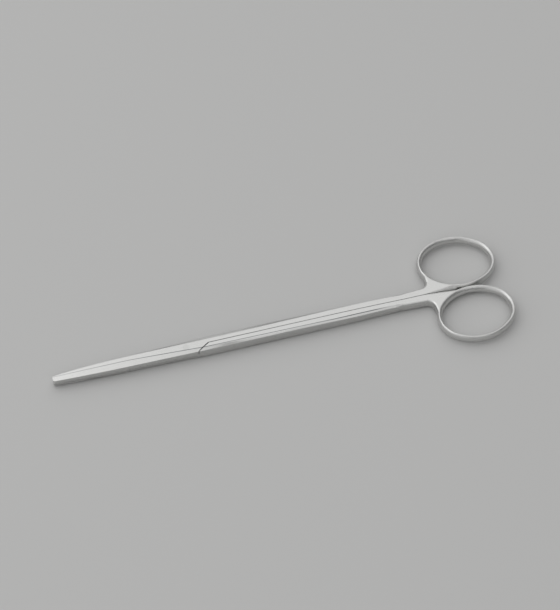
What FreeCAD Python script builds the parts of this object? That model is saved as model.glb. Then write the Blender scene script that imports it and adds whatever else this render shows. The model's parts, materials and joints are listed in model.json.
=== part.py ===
"""Straight dissecting scissors: two stainless halves crossing at a lap joint, held by one screw.

Frame: +X runs from the joint to the finger rings, +Y to the upper half's ring, +Z up.
The origin is under the middle of the closed pair, in the plane that its flat underside rests on.
Both halves are the same forging. Each is modelled round the joint's axis, with its middle plane
at height 0, its blade above that plane and its ring on the +Y side. The lower one is turned over.
"""
import os
import re

import FreeCAD
import Part
import Sketcher

SIZES = {
    # closed outline seen from above
    "tip_reach": 52.1,
    "tip_width": 2.9,
    "tip_corner": 0.9,
    "blade_width": 5.2,
    "blade_taper_start": 22.0,
    "blade_edge_radius": 611.0,
    "lap_width": 6.0,
    "shank_start": 7.0,
    "shank_end": 67.0,
    "neck_width": 5.44,
    "neck_start": 80.0,
    "neck_end": 88.0,
    # closed outline seen from the side
    "thickness": 4.9,
    "blade_thin_start": 5.0,
    "tip_thickness": 3.2,
    "shank_thin_start": 58.0,
    "neck_thickness": 3.9,
    # lap joint
    "shoulder_inner": 8.7,
    "shoulder_outer": 4.1,
    "shoulder_gap": 0.3,
    "shank_gap": 0.16,
    "ride_gap": 0.05,
    # ground facets along the edges
    "tip_facet_width": 2.0,
    "tip_facet_drop": 0.15,
    "blade_facet_width": 2.6,
    "blade_facet_drop": 0.45,
    "lap_facet_width": 1.3,
    "lap_facet_drop": 0.5,
    "shank_facet_width": 0.75,
    "shank_facet_drop": 0.65,
    "edge_facet_width": 0.75,
    "edge_facet_drop": 0.5,
    "cutting_lean": 0.35,
    # finger ring
    "ring_centre": 112.65,
    "ring_half_length": 14.95,
    "ring_half_breadth": 11.92,
    "ring_end_radius": 10.05,
    "ring_tilt": 5.5,
    "ring_stock_height": 4.0,
    "ring_stock_outer": 0.75,
    "ring_stock_inner": 1.25,
    "ring_crest_radius": 0.3,
    "ring_gap": 0.06,
    # root between shank and ring
    "root_step": 0.03,
    "root_inset": 0.3,
    "root_width": 6.5,
    "root_radius": 2.9,
    "root_depth": 1.05,
    "root_rise": 8.0,
    "root_lean": 0.25,
    "root_edge_round": 0.7,
    "crotch_start": 97.5,
    "crotch_end": 109.0,
    "crotch_width": 1.6,
    "crotch_depth": 1.44,
    # joint screw
    "screw_diameter": 2.4,
    "screw_head_diameter": 3.6,
    "screw_head_land": 0.3,
    "screw_recess": 0.1,
    "screw_slot_width": 0.55,
    "screw_slot_depth": 0.45,
    "screw_running_gap": 0.03,
    "screw_thread_gap": 0.01,
    # how far a cut runs past what it cuts
    "cut_margin": 1.0,
}
SAME_PLACE = 1e-4

doc = FreeCAD.newDocument("dissecting_scissors")
sheet = doc.addObject("Spreadsheet::Sheet", "Sizes")
for row, (alias, value) in enumerate(SIZES.items(), start=1):
    sheet.set(f"A{row}", alias)
    sheet.set(f"B{row}", str(value))
    sheet.setAlias(f"B{row}", alias)
doc.recompute()


def named(expression):
    """An expression in which each word that names a size points at its cell."""
    return re.sub("[a-z_]+", lambda w: f"Sizes.{w[0]}" if w[0] in SIZES else w[0], expression)


def number(expression):
    """The present value of an expression of named sizes."""
    value = sheet.evalExpression(named(expression))
    return float(getattr(value, "Value", value))


def new_sketch(body, name, role, offset="0"):
    """An empty sketch on one of the body's own planes, moved along the plane's normal."""
    sketch = body.newObject("Sketcher::SketchObject", name)
    plane = next(plane for plane in body.Origin.OriginFeatures if plane.Role == role)
    sketch.AttachmentSupport = [(plane, "")]
    sketch.MapMode = "FlatFace"
    sketch.setExpression("AttachmentOffset.Base.z", named(offset))
    return sketch


def bind(sketch, kind, place, name, expression):
    """One dimension of the sketch, named and tied to the sheet."""
    index = sketch.addConstraint(Sketcher.Constraint(kind, *place, number(expression)))
    sketch.renameConstraint(index, name)
    sketch.setExpression(f"Constraints.{name}", named(expression))


def arc_middle(start, end, radius):
    """The middle point of an arc that turns left from start to end, or right if negative."""
    chord = end - start
    left = FreeCAD.Vector(-chord.y, chord.x, 0).normalize()
    rise = abs(radius) - (radius * radius - chord.Length**2 / 4) ** 0.5
    return start + chord * 0.5 - left * (rise if radius > 0 else -rise)


def outline(sketch, corners):
    """A closed outline. A corner is (across, up) or (across, up, radius of the edge after it)."""
    points = [FreeCAD.Vector(number(corner[0]), number(corner[1]), 0) for corner in corners]
    ends = []
    for index, corner in enumerate(corners):
        start = points[index]
        end = points[(index + 1) % len(points)]
        if len(corner) == 3:
            middle = arc_middle(start, end, number(corner[2]))
            sketch.addGeometry(Part.Arc(start, middle, end), False)
        else:
            sketch.addGeometry(Part.LineSegment(start, end), False)
        runs_forward = sketch.getPoint(index, 1).distanceToPoint(start) < SAME_PLACE
        ends.append((1, 2) if runs_forward else (2, 1))
    for index, corner in enumerate(corners):
        after = (index + 1) % len(corners)
        joined = Sketcher.Constraint("Coincident", index, ends[index][1], after, ends[after][0])
        sketch.addConstraint(joined)
        start = ends[index][0]
        bind(sketch, "DistanceX", (-1, 1, index, start), f"across_{index}", corner[0])
        bind(sketch, "DistanceY", (-1, 1, index, start), f"up_{index}", corner[1])
        if len(corner) == 3:
            bind(sketch, "Radius", (index,), f"radius_{index}", f"abs({corner[2]})")


def side_radius(half_length, half_breadth, end_radius):
    """The radius of the two flatter arcs of an oval that is drawn with four arcs."""
    return (
        f"( ( ( {half_length} - {end_radius} ) ^ 2 + {half_breadth} ^ 2 - {end_radius} ^ 2 )"
        f" / ( 2 * ( {half_breadth} - {end_radius} ) ) )"
    )


def oval_joints(half_length, half_breadth, end_radius):
    """How far along and across from its middle an oval's end arcs meet its side arcs."""
    side = side_radius(half_length, half_breadth, end_radius)
    along = f"( ( {half_length} - {end_radius} ) * {side} / ( {side} - {end_radius} ) )"
    across = f"( {end_radius} * ( {side} - {half_breadth} ) / ( {side} - {end_radius} ) )"
    return along, across


def feature(body, kind, name, profile, **settings):
    """Adds a feature, such as a pad or a pocket, made from a sketch to the body."""
    made = body.newObject(f"PartDesign::{kind}", name)
    made.Profile = profile
    for key, value in settings.items():
        setattr(made, key, value)
    return made


def plate(body, name, corners, height):
    """A pad of the outline, its height shared above and below the middle plane."""
    sketch = new_sketch(body, f"{name}_outline", "XY_Plane")
    outline(sketch, corners)
    feature(body, "Pad", name, sketch, Midplane=True).setExpression("Length", named(height))


def cut_through(body, name, role, corners):
    """Cuts the outline through the whole body, both ways from its plane."""
    sketch = new_sketch(body, f"{name}_outline", role)
    outline(sketch, corners)
    feature(body, "Pocket", name, sketch, Type="ThroughAll", Midplane=True)


FACET_LEAD = 0.25
FACET_REACH = 2


def facet(body, name, stations):
    """Grinds a facet along an edge, through stations (x, y, height, run, drop).

    At each station the facet starts at y and height, and falls by drop over run. The wedge
    that is cut away starts a little before that, above the face, and reaches past the edge.
    """
    sections = []
    for index, (x, y, height, run, drop) in enumerate(stations):
        section = new_sketch(body, f"{name}_{index}", "YZ_Plane", x)
        above = f"{height} + {FACET_LEAD} * ( {drop} )"
        below = f"{height} - {FACET_REACH} * ( {drop} )"
        inner = f"{y} - {FACET_LEAD} * ( {run} )"
        outer = f"{y} + {FACET_REACH} * ( {run} )"
        outline(section, [(inner, above), (outer, below), (outer, above)])
        sections.append(section)
    doc.recompute()
    feature(body, "SubtractiveLoft", name, sections[0], Sections=sections[1:])


RING_OVAL = ("ring_half_length", "ring_half_breadth", "ring_end_radius")
RING_SIDE = side_radius(*RING_OVAL)
RING_Y = (
    "( ring_gap / 2 + ring_stock_outer"
    f" + {RING_SIDE} - ( {RING_SIDE} - ring_half_breadth ) * cos(ring_tilt * 1deg) )"
)


def ring_oval(sketch):
    """The line of the bar's crest round the ring, from the ring's free end round to it again."""
    along, across = oval_joints(*RING_OVAL)
    outline(sketch, [
        ("ring_half_length", "0", "ring_end_radius"),
        (along, across, RING_SIDE),
        (f"-{along}", across, "ring_end_radius"),
        (f"-{along}", f"-{across}", RING_SIDE),
        (along, f"-{across}", "ring_end_radius"),
    ])


def bar_section(sketch):
    """The ring's bar cut across at the ring's free end, bulging more into the hole than out."""
    half_height = "( ring_stock_height / 2 )"
    outer = (half_height, "ring_stock_outer", "ring_crest_radius")
    inner = (half_height, "ring_stock_inner", "ring_crest_radius")
    outer_up, outer_across = oval_joints(*outer)
    inner_up, inner_across = oval_joints(*inner)
    outline(sketch, [
        (f"ring_half_length + {outer_across}", f"-{outer_up}", side_radius(*outer)),
        (f"ring_half_length + {outer_across}", outer_up, "ring_crest_radius"),
        (f"ring_half_length - {inner_across}", inner_up, side_radius(*inner)),
        (f"ring_half_length - {inner_across}", f"-{inner_up}", "ring_crest_radius"),
    ])


def ring_plane(body, name, role):
    """A sketch centred on the ring and turned with it: flat, or standing along its length."""
    sketch = new_sketch(body, name, role)
    lying = role == "XY_Plane"
    turn = FreeCAD.Vector(0, 0, 1) if lying else FreeCAD.Vector(0, 1, 0)
    sketch.AttachmentOffset = FreeCAD.Placement(FreeCAD.Vector(), FreeCAD.Rotation(turn, -1))
    sketch.setExpression("AttachmentOffset.Rotation.Angle", named("-ring_tilt * 1deg"))
    sketch.setExpression("AttachmentOffset.Base.x", named("ring_centre"))
    across = "AttachmentOffset.Base.y" if lying else "AttachmentOffset.Base.z"
    sketch.setExpression(across, named(RING_Y if lying else f"-{RING_Y}"))
    return sketch


def edges_between(shape, places):
    """The names of the level edges whose two ends both lie, seen from above, at the places."""
    def at_place(vertex):
        return any(max(abs(vertex.X - x), abs(vertex.Y - y)) < SAME_PLACE for x, y in places)

    names = []
    for index, edge in enumerate(shape.Edges, start=1):
        level = edge.BoundBox.ZLength < SAME_PLACE
        if level and len(edge.Vertexes) == 2 and all(at_place(v) for v in edge.Vertexes):
            names.append(f"Edge{index}")
    return names


def fillet(body, name, edge_names, radius):
    """Rounds the named edges of the body's last feature."""
    base = body.Tip
    rounded = body.newObject("PartDesign::Fillet", name)
    rounded.Base = (base, edge_names)
    rounded.setExpression("Radius", named(radius))


def ring_and_root(name):
    """The finger ring, an oval bar bent round, and the flat root that it grows from."""
    body = doc.addObject("PartDesign::Body", name)
    root_height = "( ring_stock_height - 2 * root_step )"
    ring_left = "( ring_centre - ring_half_length - ring_stock_outer + root_depth )"
    outer_wall = [
        (f"{ring_left} + root_lean", "root_width / 2 + root_rise"),
        (ring_left, "root_width / 2 + root_radius", "-root_radius"),
        (f"{ring_left} - root_radius", "root_width / 2"),
        ("neck_start", "neck_width / 2 - root_inset"),
    ]
    plate(body, "root", [
        ("neck_start", "shank_gap / 2"),
        ("crotch_end", "shank_gap / 2"),
        ("crotch_end", RING_Y),
    ] + outer_wall, root_height)
    hole = ring_plane(body, "hole_outline", "XY_Plane")
    ring_oval(hole)
    feature(body, "Pocket", "hole", hole, Type="ThroughAll", Midplane=True)
    doc.recompute()
    wall_places = [(number(corner[0]), number(corner[1])) for corner in outer_wall]
    fillet(body, "root_rounding", edges_between(body.Tip.Shape, wall_places), "root_edge_round")
    for side, word in ((1, "top"), (-1, "bottom")):
        height = f"{side} * {root_height} / 2"
        facet(body, f"crotch_{word}", [
            ("crotch_start", "shank_gap / 2", height, "-root_step", f"{side} * root_step"),
            ("crotch_end + cut_margin", "shank_gap / 2 + crotch_width", height,
             "-crotch_width", f"{side} * crotch_depth"),
        ])
    path = ring_plane(body, "ring_path", "XY_Plane")
    ring_oval(path)
    section = ring_plane(body, "ring_section", "XZ_Plane")
    bar_section(section)
    doc.recompute()
    round_the_ring = [f"Edge{index}" for index in range(1, len(path.Shape.Edges) + 1)]
    feature(body, "AdditivePipe", "ring", section, Spine=(path, round_the_ring), Mode="Standard")
    return body


def closed_edge(side):
    """One long edge of the closed outline from above, from the tip back to the neck."""
    return [
        ("-tip_reach", f"{side} * tip_width / 2"),
        ("-blade_taper_start", f"{side} * blade_width / 2"),
        ("shank_start", f"{side} * lap_width / 2"),
        ("shank_end", f"{side} * lap_width / 2"),
        ("neck_start", f"{side} * neck_width / 2"),
        ("neck_end", f"{side} * neck_width / 2"),
    ]


def thinning(body, name, side):
    """Thins the blade and the shank from one flat side, along an arc towards each end."""
    blade_run = "( tip_reach - blade_thin_start )"
    blade_fall = "( ( thickness - tip_thickness ) / 2 )"
    shank_run = "( neck_end - shank_thin_start )"
    shank_fall = "( ( thickness - neck_thickness ) / 2 )"
    cut_through(body, name, "XZ_Plane", [
        ("-tip_reach - thickness", f"{side} * tip_thickness / 2"),
        ("-tip_reach", f"{side} * tip_thickness / 2",
         f"{-side} * ( {blade_run} ^ 2 + {blade_fall} ^ 2 ) / ( 2 * {blade_fall} )"),
        ("-blade_thin_start", f"{side} * thickness / 2"),
        ("shank_thin_start", f"{side} * thickness / 2",
         f"{-side} * ( {shank_run} ^ 2 + {shank_fall} ^ 2 ) / ( 2 * {shank_fall} )"),
        ("neck_end", f"{side} * neck_thickness / 2"),
        ("neck_end + thickness", f"{side} * neck_thickness / 2"),
        ("neck_end + thickness", f"{side} * thickness"),
        ("-tip_reach - thickness", f"{side} * thickness"),
    ])


def blade_top(forward):
    """The blade's half thickness at a distance forward of the joint."""
    return (
        "( thickness / 2 - ( thickness - tip_thickness ) / 2"
        f" * ( ( {forward} - blade_thin_start ) / ( tip_reach - blade_thin_start ) ) ^ 2 )"
    )


def long_facet(body, name, across, up, widths):
    """A facet along one long edge. across and up are the signs of the edge's side and face."""
    half_widths = ["tip_width / 2", "blade_width / 2", "lap_width / 2", "lap_width / 2",
                   "neck_width / 2"]
    places = ["-tip_reach - cut_margin", "-blade_taper_start", "shank_start",
              "shank_thin_start", "neck_end + cut_margin"]
    heights = ["tip_thickness / 2", blade_top("blade_taper_start"), "thickness / 2",
               "thickness / 2", "neck_thickness / 2"]
    stations = []
    for x, half, height, word in zip(places, half_widths, heights, widths):
        width = f"{word}_facet_width"
        stations.append((
            x,
            f"{across} * ( {half} - {width} )",
            f"{up} * {height}",
            f"{across} * {width}",
            f"{up} * {word}_facet_drop",
        ))
    facet(body, name, stations)


def cutting_facet(body):
    """The steep facet that brings the blade's +Y edge to a cutting edge at the middle plane."""
    drop = "( {} - edge_facet_drop - 2 * ride_gap )"
    middle = "( tip_reach + blade_taper_start ) / 2"
    middle_width = (
        "( tip_width + blade_width ) / 4"
        " + ( tip_reach - blade_taper_start ) ^ 2 / ( 8 * blade_edge_radius )"
    )
    places = [
        ("-tip_reach - cut_margin", "tip_width / 2", "tip_thickness / 2", "cutting_lean"),
        (f"-{middle}", middle_width, blade_top(middle), "cutting_lean"),
        ("-blade_taper_start", "blade_width / 2", blade_top("blade_taper_start"),
         "cutting_lean"),
        ("( shank_start - blade_taper_start ) / 2", "( blade_width + lap_width ) / 4",
         "thickness / 2", "cutting_lean"),
        ("shank_start", "lap_width / 2 + ride_gap", "thickness / 2", "ride_gap"),
    ]
    facet(body, "cutting_facet", [
        (x, f"{half} - {lean}", f"{top} - edge_facet_drop", lean, drop.format(top))
        for x, half, top, lean in places
    ])


SHOULDER_SLOPE = "( ( shoulder_inner - shoulder_outer ) / ( lap_width / 2 ) )"


def scissor_half(name):
    """One half in its own frame: a closed pair's outline, ground and cut down to one half."""
    body = doc.addObject("PartDesign::Body", name)
    near = closed_edge(-1)
    far = closed_edge(1)[::-1]
    blade_arc = ("blade_edge_radius",)
    near[0] += blade_arc
    far[-2] += blade_arc
    plate(body, "blank", near + far, "thickness")
    doc.recompute()
    tip_x = number("-tip_reach")
    tip_edges = [
        f"Edge{index}" for index, edge in enumerate(body.Tip.Shape.Edges, start=1)
        if all(abs(vertex.X - tip_x) < SAME_PLACE for vertex in edge.Vertexes)
        and edge.BoundBox.YLength < SAME_PLACE
    ]
    fillet(body, "tip_rounding", tip_edges, "tip_corner")
    thinning(body, "top_thinning", 1)
    thinning(body, "bottom_thinning", -1)
    spine_widths = ["tip", "blade", "lap", "shank", "shank"]
    edge_widths = ["edge", "edge", "lap", "shank", "shank"]
    long_facet(body, "spine_facet", -1, 1, spine_widths)
    long_facet(body, "edge_facet", 1, 1, edge_widths)
    long_facet(body, "under_facet", 1, -1, spine_widths)
    cutting_facet(body)
    handle = ring_and_root(f"{name}_handle")
    joined = body.newObject("PartDesign::Boolean", "handle_joined")
    joined.Type = "Fuse"
    joined.addObject(handle)
    outside = "lap_width"
    cut_through(body, "other_shank", "XY_Plane", [
        ("shoulder_inner - shoulder_gap / 2", "shank_gap / 2"),
        (f"shoulder_outer - shoulder_gap / 2 - {SHOULDER_SLOPE} * {outside} / 2", f"-{outside}"),
        ("neck_end + cut_margin", f"-{outside}"),
        ("neck_end + cut_margin", "shank_gap / 2"),
    ])
    below = new_sketch(body, "other_blade_outline", "XY_Plane", "ride_gap / 2")
    outline(below, [
        ("shoulder_inner + shoulder_gap / 2", "shank_gap / 2"),
        (f"shoulder_outer + shoulder_gap / 2 - {SHOULDER_SLOPE} * {outside} / 2", outside),
        ("-tip_reach - cut_margin", outside),
        ("-tip_reach - cut_margin", f"-{outside}"),
        ("shoulder_inner + shoulder_gap / 2", f"-{outside}"),
    ])
    feature(body, "Pocket", "other_blade", below, Type="ThroughAll")
    return body


def turned_profile(body, name, corners):
    """A half profile standing on the joint's axis. A corner is (radius, height)."""
    sketch = new_sketch(body, name, "XZ_Plane")
    outline(sketch, corners)
    return sketch


def screw_corners(gap, head_end, plain_end, head_side):
    """The screw's half profile from its head's end face to its plain end, grown by gap."""
    cone_top = "thickness / 2 - screw_recess - screw_head_land"
    cone_depth = "( screw_head_diameter - screw_diameter ) / 2"
    return [
        ("0", head_end),
        (f"screw_head_diameter / 2 + {gap}", head_end),
        (f"screw_head_diameter / 2 + {gap}", f"{head_side} * ( {cone_top} )"),
        (f"screw_diameter / 2 + {gap}", f"{head_side} * ( {cone_top} - {cone_depth} )"),
        (f"screw_diameter / 2 + {gap}", plain_end),
        ("0", plain_end),
    ]


def joint_screw():
    """The slotted countersunk screw: head in the lower half, threaded end in the upper one."""
    body = doc.addObject("PartDesign::Body", "joint_screw")
    profile = turned_profile(body, "screw_profile", screw_corners(
        "0", "-( thickness / 2 - screw_recess )", "thickness / 2 - screw_thread_gap", -1))
    turned = feature(body, "Revolution", "screw", profile, Angle=360)
    turned.ReferenceAxis = (profile, ["V_Axis"])
    slot = new_sketch(body, "slot_outline", "XY_Plane",
                      "-( thickness / 2 - screw_recess - screw_slot_depth )")
    outline(slot, [
        ("-screw_head_diameter", "-screw_slot_width / 2"),
        ("screw_head_diameter", "-screw_slot_width / 2"),
        ("screw_head_diameter", "screw_slot_width / 2"),
        ("-screw_head_diameter", "screw_slot_width / 2"),
    ])
    feature(body, "Pocket", "slot", slot, Type="ThroughAll")
    return body


def bored(body, name, corners):
    """The screw's hole, turned out of a half."""
    profile = turned_profile(body, f"{name}_profile", corners)
    groove = feature(body, "Groove", name, profile, Angle=360)
    groove.ReferenceAxis = (profile, ["V_Axis"])


upper_half = scissor_half("upper_half")
bored(upper_half, "threaded_hole", [
    ("0", "-thickness"),
    ("screw_diameter / 2 + screw_thread_gap", "-thickness"),
    ("screw_diameter / 2 + screw_thread_gap", "thickness"),
    ("0", "thickness"),
])
lower_half = scissor_half("lower_half")
bored(lower_half, "countersunk_hole", screw_corners(
    "screw_running_gap", "thickness", "-thickness", 1))
screw = joint_screw()

turned_over = FreeCAD.Rotation(FreeCAD.Vector(1, 0, 0), 180)
lower_half.Placement = FreeCAD.Placement(FreeCAD.Vector(), turned_over)
sub_parts = [upper_half, lower_half, screw]
middle_of_pair = "( ring_centre + ring_half_length + ring_stock_outer - tip_reach ) / 2"
for sub_part in sub_parts:
    sub_part.setExpression("Placement.Base.x", named(f"-{middle_of_pair}"))
    sub_part.setExpression("Placement.Base.z", named("thickness / 2"))
doc.recompute()

for item in doc.Objects:
    if "Invalid" in item.State or "Error" in item.State:
        raise RuntimeError(f"{item.Label} failed: {item.State}")
os.makedirs("parts", exist_ok=True)
for sub_part in sub_parts:
    shape = sub_part.Shape
    if shape.isNull() or not shape.isValid() or len(shape.Solids) != 1:
        raise RuntimeError(f"{sub_part.Label} is not one valid solid")
    shape.exportStep(f"parts/{sub_part.Label}.step")
    print(sub_part.Label, round(shape.Volume, 1), len(shape.Faces), shape.BoundBox)
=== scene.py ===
"""Straight dissecting scissors lying closed on a pale table, lit softly from behind and the left."""
import json
import math

import bpy
import numpy as np
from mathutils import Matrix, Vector


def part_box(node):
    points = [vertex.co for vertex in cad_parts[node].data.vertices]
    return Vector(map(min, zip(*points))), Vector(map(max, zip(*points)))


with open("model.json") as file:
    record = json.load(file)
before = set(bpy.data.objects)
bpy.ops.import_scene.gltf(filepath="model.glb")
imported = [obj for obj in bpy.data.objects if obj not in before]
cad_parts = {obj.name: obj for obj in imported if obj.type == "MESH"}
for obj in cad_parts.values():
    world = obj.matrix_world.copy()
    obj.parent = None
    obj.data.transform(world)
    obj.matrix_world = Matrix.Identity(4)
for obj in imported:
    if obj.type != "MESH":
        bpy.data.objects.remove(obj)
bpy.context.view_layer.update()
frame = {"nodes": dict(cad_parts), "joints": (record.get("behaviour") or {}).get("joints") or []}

# The two halves are drop forgings of stainless steel. Their blades and shanks are ground
# lengthwise on a belt and the finger rings are ground round, then the whole pair is polished
# together, which leaves fine lines along each part and a soft mirror on every face. A thin dark
# line of painted shade, standing in for the dark reflection in the edge, runs where the facet
# along an edge meets the flat, and strips of painted shade lie beside the gaps between the halves.
JOINT_X = frame["joints"][0]["pos_m"][0]
MIDDLE_Z = sum(corner[2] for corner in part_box("upper_half")) / 2
RING_CENTRE_X = 0.074525
RING_CENTRE_Y = 0.012725
RING_ROUNDING = 0.80
ROOT_START_X = 0.0555
ROOT_END_X = 0.0625
LINES_ACROSS = 9000.0
LINES_ALONG = 30.0
TURNS_ALONG = 1.2
# How far forward of the joint's axis, or behind it, and how far across the painted shade line runs.
FACET_LINE = ((-0.0521, -0.00055), (-0.022, 0.0), (0.007, 0.0017), (0.058, 0.00225),
              (0.090, 0.0019))
LINE_REACH = 0.004
LINE_HALF_WIDTH = 0.00017
LINE_END_X = 0.036
LINE_FADE = 0.008
LINE_AT_TIP = 0.45
FLANK_HEIGHT = 0.001
# The colour of the painted shade, on the line along the facet's edge and on the strips beside the
# gaps.
PAINTED_SHADE_COLOUR = (0.14, 0.147, 0.154, 1.0)
# Beside the gap between the shanks, and beside the slanting one at the lap joint's shoulder, lie
# strips of painted shade. A wall is half the gap's width. The shoulder goes 4.6 mm forward in
# the 3 mm from the seam to the flank.
SEAM_START = 0.0087
SEAM_WALL = 0.00008
SEAM_FADE = 0.03
SEAM_AT_RINGS = 0.4
SHOULDER_OUTER = 0.003
SHOULDER_RUN = 0.0046 / SHOULDER_OUTER
SHOULDER_INNER_WALL = 0.000149
SHOULDER_OUTER_WALL = 0.000116
SHOULDER_END = 0.0027
SEAM_SHADE = 0.00008
ON_WALL = 0.000004
EDGE_ROUND = 0.00012
RING_ROUND = 0.0016


def add_node(tree, kind, inputs=None, **settings):
    """Adds a shader node, sets its options, and fills or links its inputs by name or number."""
    node = tree.nodes.new(kind)
    for key, value in settings.items():
        setattr(node, key, value)
    for key, value in (inputs or {}).items():
        if isinstance(value, bpy.types.NodeSocket):
            tree.links.new(value, node.inputs[key])
        else:
            node.inputs[key].default_value = value
    return node


def maths(tree, operation, *values):
    """One step of arithmetic on numbers or sockets."""
    return add_node(tree, "ShaderNodeMath", dict(enumerate(values)), operation=operation).outputs[0]


def new_steel(name, base_colour):
    """A metal with an empty surface, its shader and its tree."""
    material = bpy.data.materials.new(name)
    material.use_nodes = True
    tree = material.node_tree
    shader = tree.nodes["Principled BSDF"]
    shader.inputs["Base Color"].default_value = base_colour
    shader.inputs["Metallic"].default_value = 1.0
    return material, tree, shader


def painted_facet_shade(tree, axes):
    """1 on the thin line of painted shade at the near facet's upper edge, 0 off it, on the top and
    underneath.

    The line's place across is a ramp over X through the stations. Turning the pair over swaps
    its two sides, so Y is taken with the sign of the height above the middle plane.
    """
    start, end = FACET_LINE[0][0], FACET_LINE[-1][0]
    run = add_node(tree, "ShaderNodeMapRange", {
        "Value": axes["X"], "From Min": JOINT_X + start, "From Max": JOINT_X + end}).outputs[0]
    ramp = add_node(tree, "ShaderNodeValToRGB", {0: run})
    stops = ramp.color_ramp.elements
    for x, _ in FACET_LINE[1:-1]:
        stops.new((x - start) / (end - start))
    for stop, (_, across) in zip(stops, FACET_LINE):
        shade = 0.5 + across / LINE_REACH / 2
        stop.color = (shade, shade, shade, 1.0)
    line_y = maths(tree, "MULTIPLY", maths(tree, "SUBTRACT", ramp.outputs["Color"], 0.5),
                   2 * LINE_REACH)
    height = maths(tree, "SUBTRACT", axes["Z"], MIDDLE_Z)
    turned_y = maths(tree, "MULTIPLY", axes["Y"], maths(tree, "SIGN", height))
    off = maths(tree, "ABSOLUTE", maths(tree, "ADD", turned_y, line_y))
    near = add_node(tree, "ShaderNodeMapRange", {
        "Value": off, "From Min": LINE_HALF_WIDTH, "From Max": 0.4 * LINE_HALF_WIDTH},
        interpolation_type="SMOOTHSTEP").outputs[0]
    outside = maths(tree, "GREATER_THAN", maths(tree, "ABSOLUTE", height), FLANK_HEIGHT)
    before_root = add_node(tree, "ShaderNodeMapRange", {
        "Value": axes["X"], "From Min": LINE_END_X + LINE_FADE, "From Max": LINE_END_X})
    to_tip = add_node(tree, "ShaderNodeMapRange", {
        "Value": axes["X"], "From Min": JOINT_X + start, "From Max": JOINT_X,
        "To Min": LINE_AT_TIP})
    return maths(tree, "MULTIPLY", maths(tree, "MULTIPLY", near, outside),
                 maths(tree, "MULTIPLY", before_root.outputs[0], to_tip.outputs[0]))


def painted_shade_beside_gap(tree, past_wall):
    """1 on the strip of painted shade next to a gap's wall, 0 on the wall itself and further out."""
    off_wall = maths(tree, "GREATER_THAN", past_wall, ON_WALL)
    fading = add_node(tree, "ShaderNodeMapRange", {
        "Value": past_wall, "From Min": SEAM_SHADE, "From Max": 0.5 * SEAM_SHADE},
        interpolation_type="SMOOTHSTEP").outputs[0]
    return maths(tree, "MULTIPLY", off_wall, fading)


def painted_seam_shade(tree, axes):
    """The strips of painted shade beside the gap of the shanks and beside the lap joint's shoulder.

    The shoulder's line goes forward as it goes out, on the side that the sign of the height
    above the middle plane gives. Its distance is taken square to the line, from walls that
    close up a little as they go out, and it fades out before the flank.
    """
    back = maths(tree, "SUBTRACT", axes["X"], JOINT_X + SEAM_START)
    behind = maths(tree, "GREATER_THAN", back, 0.0)
    paler = add_node(tree, "ShaderNodeMapRange", {
        "Value": back, "From Max": SEAM_FADE, "To Min": 1.0, "To Max": SEAM_AT_RINGS})
    shank = maths(tree, "MULTIPLY", behind,
                  painted_shade_beside_gap(tree, maths(tree, "SUBTRACT", maths(tree, "ABSOLUTE", axes["Y"]),
                                         SEAM_WALL)))
    side = maths(tree, "SIGN", maths(tree, "SUBTRACT", axes["Z"], MIDDLE_Z))
    turned_y = maths(tree, "MULTIPLY", axes["Y"], side)
    slant = maths(tree, "SUBTRACT", back, maths(tree, "MULTIPLY", turned_y, SHOULDER_RUN))
    off = maths(tree, "DIVIDE", maths(tree, "ABSOLUTE", slant), math.hypot(1.0, SHOULDER_RUN))
    wall = add_node(tree, "ShaderNodeMapRange", {
        "Value": turned_y, "From Min": -SHOULDER_OUTER, "From Max": -SEAM_WALL,
        "To Min": SHOULDER_OUTER_WALL, "To Max": SHOULDER_INNER_WALL}).outputs[0]
    inner_part = maths(tree, "LESS_THAN", turned_y, SEAM_WALL)
    off_flank = add_node(tree, "ShaderNodeMapRange", {
        "Value": turned_y, "From Min": -SHOULDER_END, "From Max": -0.7 * SHOULDER_END}).outputs[0]
    shoulder = maths(tree, "MULTIPLY", maths(tree, "MULTIPLY", inner_part, off_flank),
                     painted_shade_beside_gap(tree, maths(tree, "SUBTRACT", off, wall)))
    return maths(tree, "MAXIMUM", maths(tree, "MULTIPLY", shank, paler.outputs[0]), shoulder)


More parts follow.
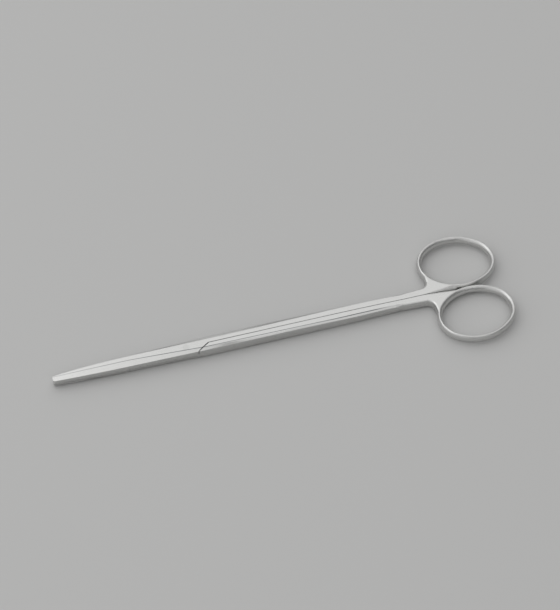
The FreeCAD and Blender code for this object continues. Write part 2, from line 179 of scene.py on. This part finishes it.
def ground_steel():
    """Polished steel with lines along X on the blades and shanks, and round the finger rings.
    Its base colour carries painted shade: a thin line along the facet's edge and strips beside the
    gaps.

    Round a ring, the lines follow the angle about its centre, and change with the distance
    from it, measured with X shortened so that a circle of it is the ring's oval.
    """
    material, tree, shader = new_steel("ground_steel", (0.66, 0.66, 0.65, 1.0))
    place = add_node(tree, "ShaderNodeTexCoord").outputs["Object"]
    axes = add_node(tree, "ShaderNodeSeparateXYZ", {0: place}).outputs
    along = maths(tree, "MULTIPLY", maths(tree, "SUBTRACT", axes["X"], RING_CENTRE_X),
                  RING_ROUNDING)
    across = maths(tree, "SUBTRACT", maths(tree, "ABSOLUTE", axes["Y"]), RING_CENTRE_Y)
    angle = maths(tree, "ARCTAN2", across, along)
    squares = maths(tree, "ADD", maths(tree, "MULTIPLY", along, along),
                    maths(tree, "MULTIPLY", across, across))
    radius = maths(tree, "SQRT", squares)
    round_ring = add_node(tree, "ShaderNodeCombineXYZ", {
        "X": maths(tree, "MULTIPLY", angle, TURNS_ALONG),
        "Y": maths(tree, "MULTIPLY", radius, LINES_ACROSS),
        "Z": maths(tree, "MULTIPLY", axes["Z"], LINES_ACROSS),
    }).outputs[0]
    down_shank = add_node(tree, "ShaderNodeVectorMath", {
        0: place, 1: (LINES_ALONG, LINES_ACROSS, LINES_ACROSS)}, operation="MULTIPLY").outputs[0]
    on_ring = add_node(tree, "ShaderNodeMapRange", {
        "Value": axes["X"], "From Min": ROOT_START_X, "From Max": ROOT_END_X},
        interpolation_type="SMOOTHSTEP").outputs[0]
    lines = [
        add_node(tree, "ShaderNodeTexNoise", {
            "Vector": vector, "Scale": 1.0, "Detail": 3.0, "Roughness": 0.6}).outputs["Fac"]
        for vector in (down_shank, round_ring)
    ]
    grind = add_node(tree, "ShaderNodeMix", {0: on_ring, 2: lines[0], 3: lines[1]}).outputs[0]
    clouds = add_node(tree, "ShaderNodeTexNoise", {
        "Vector": place, "Scale": 140.0, "Detail": 4.0, "Roughness": 0.55}).outputs["Fac"]
    wear = add_node(tree, "ShaderNodeTexNoise", {
        "Vector": place, "Scale": 2600.0, "Detail": 2.0, "Roughness": 0.7}).outputs["Fac"]
    mixed = maths(tree, "ADD", maths(tree, "MULTIPLY", clouds, 0.3),
                  maths(tree, "MULTIPLY", grind, 0.7))
    rough = add_node(tree, "ShaderNodeMapRange", {
        "Value": mixed, "From Min": 0.35, "From Max": 0.65, "To Min": 0.24, "To Max": 0.34})
    tree.links.new(rough.outputs[0], shader.inputs["Roughness"])
    tint = add_node(tree, "ShaderNodeMix", {
        0: clouds, 6: (0.645, 0.645, 0.635, 1.0), 7: (0.675, 0.675, 0.665, 1.0)}, data_type="RGBA")
    # Painted shade: the line at the facet's edge and the strips beside the gaps darken the base
    # colour.
    line = maths(tree, "MAXIMUM", painted_facet_shade(tree, axes), painted_seam_shade(tree, axes))
    with_painted_shade = add_node(tree, "ShaderNodeMix", {
        0: line, 6: tint.outputs[2], 7: PAINTED_SHADE_COLOUR}, data_type="RGBA")
    tree.links.new(with_painted_shade.outputs[2], shader.inputs["Base Color"])
    height = maths(tree, "ADD", grind, maths(tree, "MULTIPLY", wear, 0.1))
    soft_edge = add_node(tree, "ShaderNodeMix", {0: on_ring, 2: EDGE_ROUND, 3: RING_ROUND})
    rounded = add_node(tree, "ShaderNodeBevel", {"Radius": soft_edge.outputs[0]}, samples=8)
    bump = add_node(tree, "ShaderNodeBump", {
        "Height": height, "Strength": 0.05, "Distance": 0.00002,
        "Normal": rounded.outputs[0]})
    tree.links.new(bump.outputs[0], shader.inputs["Normal"])
    return material


steel = ground_steel()
for half in ("upper_half", "lower_half"):
    frame["nodes"][half].data.materials.clear()
    frame["nodes"][half].data.materials.append(steel)

# The joint screw is turned from steel bar. Its countersunk head has a driver slot and sits just
# inside the lower half's flat face. Its plain end is ground almost level with the upper one.


def turned_steel():
    """Steel with fine rings about the screw's axis, from noise of the distance to that axis."""
    material, tree, shader = new_steel("turned_steel", (0.62, 0.62, 0.61, 1.0))
    place = add_node(tree, "ShaderNodeTexCoord").outputs["Object"]
    centred = add_node(tree, "ShaderNodeVectorMath", {
        0: place, 1: (JOINT_X, 0.0, 0.0)}, operation="SUBTRACT").outputs[0]
    flat = add_node(tree, "ShaderNodeVectorMath", {
        0: centred, 1: (1.0, 1.0, 0.0)}, operation="MULTIPLY").outputs[0]
    radius = add_node(tree, "ShaderNodeVectorMath", {0: flat}, operation="LENGTH").outputs["Value"]
    rings = add_node(tree, "ShaderNodeTexNoise", {
        "W": maths(tree, "MULTIPLY", radius, LINES_ACROSS), "Scale": 1.0, "Detail": 2.0},
        noise_dimensions="1D").outputs["Fac"]
    rough = add_node(tree, "ShaderNodeMapRange", {
        "Value": rings, "From Min": 0.3, "From Max": 0.7, "To Min": 0.22, "To Max": 0.36})
    tree.links.new(rough.outputs[0], shader.inputs["Roughness"])
    bump = add_node(tree, "ShaderNodeBump", {
        "Height": rings, "Strength": 0.4, "Distance": 0.00002})
    tree.links.new(bump.outputs[0], shader.inputs["Normal"])
    return material


frame["nodes"]["joint_screw"].data.materials.clear()
frame["nodes"]["joint_screw"].data.materials.append(turned_steel())

# The table is a plain pale board that runs well past the view on every side.
FLOOR_HALF = 1.5
FLOOR_Z = -0.00002
floor_mesh = bpy.data.meshes.new("table")
floor_mesh.from_pydata(
    [(x, y, FLOOR_Z) for x, y in ((-FLOOR_HALF, -FLOOR_HALF), (FLOOR_HALF, -FLOOR_HALF),
                                  (FLOOR_HALF, FLOOR_HALF), (-FLOOR_HALF, FLOOR_HALF))],
    [], [(0, 1, 2, 3)])
table = bpy.data.objects.new("table", floor_mesh)
bpy.context.scene.collection.objects.link(table)
board = bpy.data.materials.new("pale_board")
board.use_nodes = True
board_inputs = board.node_tree.nodes["Principled BSDF"].inputs
board_inputs["Base Color"].default_value = (0.56, 0.56, 0.555, 1.0)
board_inputs["Roughness"].default_value = 0.8
board_inputs["Specular IOR Level"].default_value = 0.2
floor_mesh.materials.append(board)

# A wide soft sky of light fills the room behind the table and to its left, with a smaller one
# in front. The right of the room is dimmer, so faces that look that way are darker.
ROOM = 0.19
SKIES = (
    # heading, height, inner and outer angle, added brightness
    (0.0, 60.0, 34.0, 58.0, 0.74),
    (-112.0, 22.0, 34.0, 58.0, 0.50),
    (167.0, 43.0, 10.0, 24.0, 0.75),
)
LAMP_HEADING = -62.0
LAMP_HEIGHT = 44.0
LAMP_DISTANCE = 0.9
LAMP_SIZE = 0.95
LAMP_POWER = 1.3


def toward(heading, height):
    """The unit vector to a point of the sky. Heading turns left to right from +Y."""
    turn, rise = math.radians(heading), math.radians(height)
    return np.array([math.sin(turn) * math.cos(rise), math.cos(turn) * math.cos(rise),
                     math.sin(rise)])


def aim(item, place, target):
    """Puts a lamp or camera at a place, looking at the target with the horizon level."""
    item.location = place
    item.rotation_euler = Vector(target - place).to_track_quat("-Z", "Y").to_euler()


world = bpy.data.worlds.new("soft_room")
bpy.context.scene.world = world
world.use_nodes = True
sky_tree = world.node_tree
direction = add_node(sky_tree, "ShaderNodeTexCoord").outputs["Generated"]
brightness = ROOM
for heading, height, inner, outer, added in SKIES:
    nearness = add_node(sky_tree, "ShaderNodeVectorMath", {
        0: direction, 1: tuple(toward(heading, height))}, operation="DOT_PRODUCT")
    glow = add_node(sky_tree, "ShaderNodeMapRange", {
        "Value": nearness.outputs["Value"], "From Min": math.cos(math.radians(outer)),
        "From Max": math.cos(math.radians(inner)), "To Min": 0.0, "To Max": added},
        interpolation_type="SMOOTHSTEP")
    brightness = maths(sky_tree, "ADD", brightness, glow.outputs[0])
sky_tree.links.new(brightness, sky_tree.nodes["Background"].inputs["Strength"])
sky_tree.nodes["Background"].inputs["Color"].default_value = (1.0, 1.0, 1.0, 1.0)
lamp_data = bpy.data.lights.new("soft_lamp", "AREA")
lamp_data.shape = "SQUARE"
lamp_data.size = LAMP_SIZE
lamp_data.energy = LAMP_POWER
lamp = bpy.data.objects.new("soft_lamp", lamp_data)
bpy.context.scene.collection.objects.link(lamp)
aim(lamp, toward(LAMP_HEADING, LAMP_HEIGHT) * LAMP_DISTANCE, np.zeros(3))

# The camera stands where the photograph was taken from, in front and a little to the left.
CAMERA_TARGET = np.array([0.0025, 0.01279, 0.00065])
CAMERA_AZIMUTH = -15.46
CAMERA_ELEVATION = 53.46
CAMERA_DISTANCE = 0.7505
CAMERA_LENS = 113.4
camera_data = bpy.data.cameras.new("camera")
camera_data.lens = CAMERA_LENS
camera_data.sensor_width = 36.0
camera_data.clip_start = 0.01
camera = bpy.data.objects.new("camera", camera_data)
bpy.context.scene.collection.objects.link(camera)
camera_side = toward(180.0 - CAMERA_AZIMUTH, CAMERA_ELEVATION)
aim(camera, CAMERA_TARGET + camera_side * CAMERA_DISTANCE, CAMERA_TARGET)
bpy.context.scene.camera = camera
bpy.context.scene.view_settings.view_transform = "Standard"
